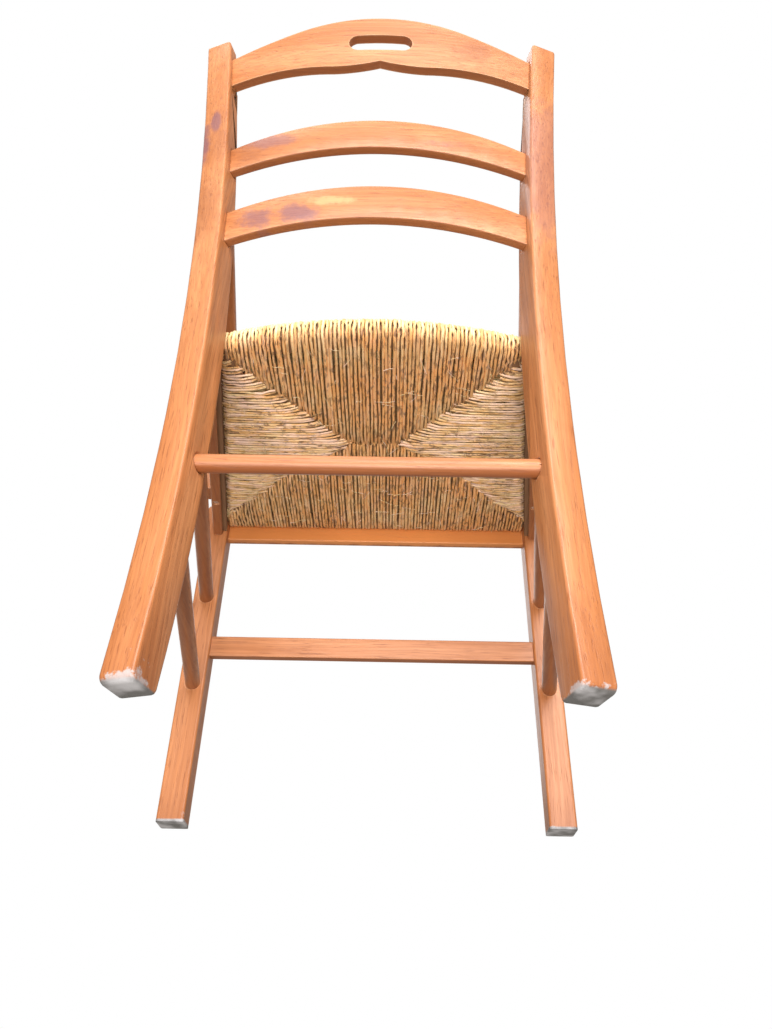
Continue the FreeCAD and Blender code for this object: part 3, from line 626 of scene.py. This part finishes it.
def rush_material(name, along, browning, greying, shade=0.0):
    """Straw yellow rush whose strands differ a little, with brown and grey dirt under the seat. shade
    darkens the rush that lies inside with painted shade."""
    material = bpy.data.materials.new(name)
    material.use_nodes = True
    tree = material.node_tree
    skin = tree.nodes["Principled BSDF"]
    where = tree.nodes.new("ShaderNodeTexCoord").outputs["Object"]
    across = (1.0, 0.0, 0.0) if along == "y" else (0.0, 1.0, 0.0)
    weak = (0.0, 0.06, 0.06) if along == "y" else (0.06, 0.0, 0.06)
    per_strand = stretched(tree, where, tuple(a + w for a, w in zip(across, weak)))
    strand_tint = ramp(tree, noise(tree, per_strand, 300.0, 3.0, 0.65), 0.36, 0.64)
    fine_fibres = stretched(tree, where, tuple(a + 0.05 for a in across))
    streak = ramp(tree, noise(tree, fine_fibres, 1300.0, 2.0, 0.6), 0.35, 0.7)
    colour = mix_colour(tree, strand_tint, (0.74, 0.46, 0.17, 1.0), (1.0, 0.88, 0.52, 1.0))
    colour = mix_colour(tree, math_node(tree, "MULTIPLY", streak, 0.3), colour, (0.40, 0.20, 0.07, 1.0))
    spread_out = tree.nodes.new("ShaderNodeSeparateXYZ")
    tree.links.new(where, spread_out.inputs["Vector"])
    underneath = ramp(tree, spread_out.outputs["Z"], BOTTOM + 0.012, BOTTOM + 0.002)
    patches = ramp(tree, noise(tree, where, 13.0, 5.0, 0.65), 0.36, 0.62, 0.45, 1.0)
    stained = math_node(tree, "MULTIPLY", underneath, patches)
    colour = mix_colour(tree, math_node(tree, "MULTIPLY", stained, browning), colour, (0.86, 0.41, 0.13, 1.0))
    along_strand = stretched(tree, where, tuple(a + w * 4.0 for a, w in zip(across, weak)))
    dark_runs = ramp(tree, noise(tree, along_strand, 330.0, 4.0, 0.7), 0.52, 0.58)
    darkened = math_node(tree, "MULTIPLY", dark_runs, math_node(tree, "MULTIPLY", stained, 0.95))
    colour = mix_colour(tree, darkened, colour, (0.23, 0.11, 0.045, 1.0))
    dusting = noise(tree, stretched(tree, where, tuple(a + 0.2 for a in across)), 130.0, 5.0, 0.7)
    dust = math_node(tree, "MULTIPLY", ramp(tree, dusting, 0.44, 0.62), underneath)
    colour = mix_colour(tree, math_node(tree, "MULTIPLY", dust, greying), colour, (1.0, 0.73, 0.60, 1.0))
    if shade:
        colour = mix_colour(tree, shade, colour, (0.06, 0.028, 0.01, 1.0))
    bump = tree.nodes.new("ShaderNodeBump")
    bump.inputs["Strength"].default_value = 0.6
    bump.inputs["Distance"].default_value = 0.0006
    tree.links.new(streak, bump.inputs["Height"])
    tree.links.new(bump.outputs["Normal"], skin.inputs["Normal"])
    tree.links.new(colour, skin.inputs["Base Color"])
    tree.links.new(ramp(tree, streak, 0.0, 1.0, 0.55, 0.8), skin.inputs["Roughness"])
    return material


front_rear = strand_curve("rush_front_rear", STRAND, 2)
lengthways_fields = (
    (REAR_HALF, meeting_depth(REAR_LINE), rear_edge, 1.0),
    (FRONT_HALF, meeting_depth(FRONT_LINE), lambda x: FRONT, -1.0),
)
for half, line, edge, way in lengthways_fields:
    count = round(2 * half / PITCH)
    for number in range(count + 1):
        x = lerp(-half, half, number / count) + random.gauss(0.0, DRIFT)
        outer = edge(x) * way
        inner = min(line(x) * way + random.uniform(*MEETING_JITTER), outer - LEAST_REACH)
        thick = random.uniform(0.74, 1.08)
        add_strand(front_rear, [(x, v * way, z) for v, z in strand_path(inner, outer)], thick)
sides = strand_curve("rush_sides", STRAND, 2)
first_y, last_y = FRONT_LINE[-1][1], REAR_LINE[1][1] + SIDE_RUN_ON
count = round((last_y - first_y) / PITCH)
for number in range(count + 1):
    y = lerp(first_y, last_y, number / count) + random.gauss(0.0, DRIFT)
    for way in (1.0, -1.0):
        outer = side_edge(y)
        inner = min(side_line(y) + random.uniform(*MEETING_JITTER), outer - LEAST_REACH)
        thick = random.uniform(0.62, 0.98)
        add_strand(sides, [(v * way, y, z) for v, z in strand_path(inner, outer)], thick)
lengthways = rush_material("rush_lengthways", "y", 0.9, 0.15)
crossways = rush_material("rush_crossways", "x", 0.5, 0.75)
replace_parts(curve_piece("rush_front_rear", front_rear, lengthways), "rush_seat")
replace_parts(curve_piece("rush_sides", sides, crossways), "rush_seat")

# --- Broken fibres and stuffing ---
# Ends that have split from old strands and hang in the weave, and the imported rush inside, darkened with
# painted shade.
FIBRES = 190
FIBRE_RADIUS = 0.00042
fibres = strand_curve("broken_fibres", FIBRE_RADIUS, 0)
for _ in range(FIBRES):
    x, y = random.uniform(-0.19, 0.19), random.uniform(-0.23, 0.13)
    heading = random.choice((0.0, math.pi / 2)) + random.gauss(0.0, 0.4)
    span = random.uniform(0.006, 0.026)
    points = []
    for t in (-0.5, -0.2, 0.2, 0.5):
        lift = random.uniform(0.0, 0.0025)
        ahead_x, ahead_y = span * t * math.cos(heading), span * t * math.sin(heading)
        points.append((x + ahead_x, y + ahead_y, BOTTOM - STRAND - 0.0002 - lift))
    add_strand(fibres, points, random.uniform(0.6, 1.2))
curve_piece("broken_fibres", fibres, rush_material("pale_fibre", "y", 0.0, 0.9))
# Painted shade: the stuffing is darkened so the gaps between the strands look dark.
finish_node("seat_stuffing", rush_material("packed_rush_in_painted_shade", "x", 1.0, 0.0, shade=0.7))
